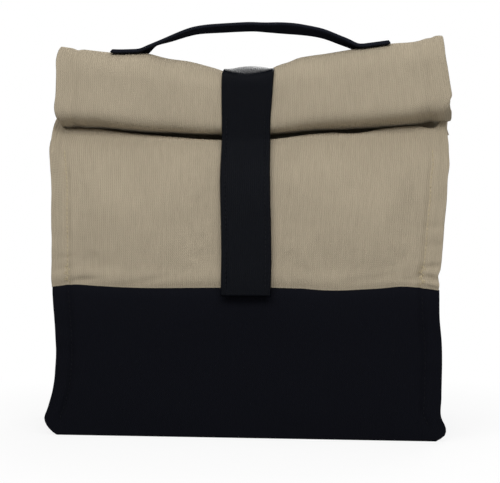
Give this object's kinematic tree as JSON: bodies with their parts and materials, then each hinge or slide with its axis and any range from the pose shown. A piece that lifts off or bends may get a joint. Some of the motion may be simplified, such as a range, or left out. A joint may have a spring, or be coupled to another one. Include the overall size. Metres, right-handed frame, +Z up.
{
  "type": "roll-top lunch bag",
  "caption": "Soft canvas lunch bag with a dark lower band, insulated lining, a roll-down top held by a hook-and-loop strap, and a webbing carry handle.",
  "frame": {"origin": "middle of the base, on the surface the bag stands on", "axes": "+X to the bag's right seen from the front, +Y to its back, +Z up"},
  "size_m": [0.244, 0.1263, 0.2543],
  "materials": {
    "canvas_light": "ribbed cotton canvas, natural beige",
    "canvas_dark": "cotton canvas and webbing, navy black",
    "lining": "wipe-clean film, pale grey",
    "foam": "closed-cell foam sheet",
    "board": "stiff plastic sheet",
    "tape": "hook-and-loop tape, black"
  },
  "bodies": {
    "bag": {"base_panel": "canvas_dark", "base_board": "board", "base_foam": "foam", "base_lining": "lining", "band_front": "canvas_dark", "band_back": "canvas_dark", "band_left": "canvas_dark", "band_right": "canvas_dark", "front_panel": "canvas_light", "back_panel": "canvas_light", "left_gusset": "canvas_light", "right_gusset": "canvas_light", "front_foam": "foam", "back_foam": "foam", "left_foam": "foam", "right_foam": "foam", "front_lining": "lining", "back_lining": "lining", "left_lining": "lining", "right_lining": "lining", "left_gusset_lining": "lining", "right_gusset_lining": "lining", "neck_outer_ply": "canvas_light", "neck_inner_ply": "canvas_light", "strap_tail": "canvas_dark", "loop_tape": "tape"},
    "roll_crest": {"crest_outer_ply": "canvas_light", "crest_inner_ply": "canvas_light", "strap_crest": "canvas_dark", "handle_tab_left": "canvas_dark", "handle_tab_right": "canvas_dark"},
    "roll_front": {"roll_front_outer_ply": "canvas_light", "roll_front_inner_ply": "canvas_light", "strap_root": "canvas_dark"},
    "roll_return": {"roll_return_outer_ply": "canvas_light", "roll_return_inner_ply": "canvas_light"},
    "roll_hem": {"hem_outer_ply": "canvas_light", "hem_inner_ply": "canvas_light"},
    "strap": {"strap_flap": "canvas_dark", "hook_tape": "tape"},
    "handle": {"handle_grip": "canvas_dark"}
  },
  "joints": [
    {"name": "roll_open", "type": "hinge", "parent": "bag", "child": "roll_crest", "pos_m": [0, 0.006, 0.225], "axis": [-1, 0, 0], "range_deg": [0, 90]},
    {"name": "front_unroll", "type": "hinge", "parent": "roll_crest", "child": "roll_front", "pos_m": [0, -0.034, 0.225], "axis": [-1, 0, 0], "range_deg": [0, 90]},
    {"name": "return_unroll", "type": "hinge", "parent": "roll_front", "child": "roll_return", "pos_m": [0, -0.034, 0.1845], "axis": [-1, 0, 0], "range_deg": [0, 90]},
    {"name": "hem_unroll", "type": "hinge", "parent": "roll_return", "child": "roll_hem", "pos_m": [0, -0.01, 0.1845], "axis": [-1, 0, 0], "range_deg": [0, 90]},
    {"name": "strap_peel", "type": "hinge", "parent": "roll_front", "child": "strap", "pos_m": [0, -0.0367, 0.2117], "axis": [-1, 0, 0], "range_deg": [0, 120]},
    {"name": "handle_swing", "type": "hinge", "parent": "roll_crest", "child": "handle", "pos_m": [0, -0.014, 0.24485], "axis": [1, 0, 0], "range_deg": [-40, 40]}
  ],
  "couplings": [
    {"joint": "front_unroll", "follows": "roll_open", "ratio": 1},
    {"joint": "return_unroll", "follows": "roll_open", "ratio": 1},
    {"joint": "hem_unroll", "follows": "roll_open", "ratio": 1}
  ]
}
